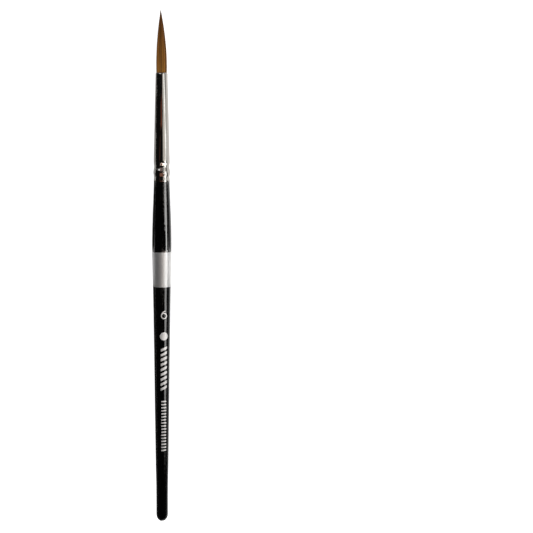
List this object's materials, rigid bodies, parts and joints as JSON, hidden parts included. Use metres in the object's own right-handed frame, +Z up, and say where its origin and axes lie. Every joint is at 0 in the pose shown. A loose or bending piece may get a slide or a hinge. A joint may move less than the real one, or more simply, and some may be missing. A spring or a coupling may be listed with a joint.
{
  "type": "round artist brush",
  "caption": "Round pointed fine detail brush with a sprung synthetic hair tuft, a twice-crimped bright ferrule and a short gloss black swelling handle with a silver band.",
  "frame": {"origin": "on the table that the brush lies on, under the middle of the brush's box", "axes": "+X along the brush towards the tip of the tuft, +Z up from the table; the brush's own axis dips 1.2 degrees towards the tip, because it rests on the handle's belly and on the bulge between the ferrule's crimps"},
  "size_m": [0.204, 0.0078, 0.0085],
  "materials": {
    "handle_wood": "matte",
    "black_lacquer": "gloss",
    "silver_film": "satin",
    "print_ink": "satin",
    "nickel_plate": "polished",
    "adhesive": "gloss",
    "brown_hair": "satin",
    "thread": "matte"
  },
  "bodies": {
    "brush": {"handle_core": "handle_wood", "lacquer_coat": "black_lacquer", "silver_band": "silver_film", "size_number": "print_ink", "printed_dot": "print_ink", "printed_hatch": "print_ink", "printed_ticks": "print_ink", "ferrule": "nickel_plate", "handle_glue": "adhesive", "hair_roots": "brown_hair", "binding_thread": "thread", "setting_cement": "adhesive"},
    "free_hair": {"tuft": "brown_hair"}
  },
  "joints": [
    {"name": "tuft_bend", "type": "hinge", "parent": "brush", "child": "free_hair", "pos_m": [0.07853, 0, 0.00247], "axis": [0.0207, 0, 0.9998], "range_deg": [-40, 40], "stiffness_Nm_per_rad": 0.004}
  ]
}
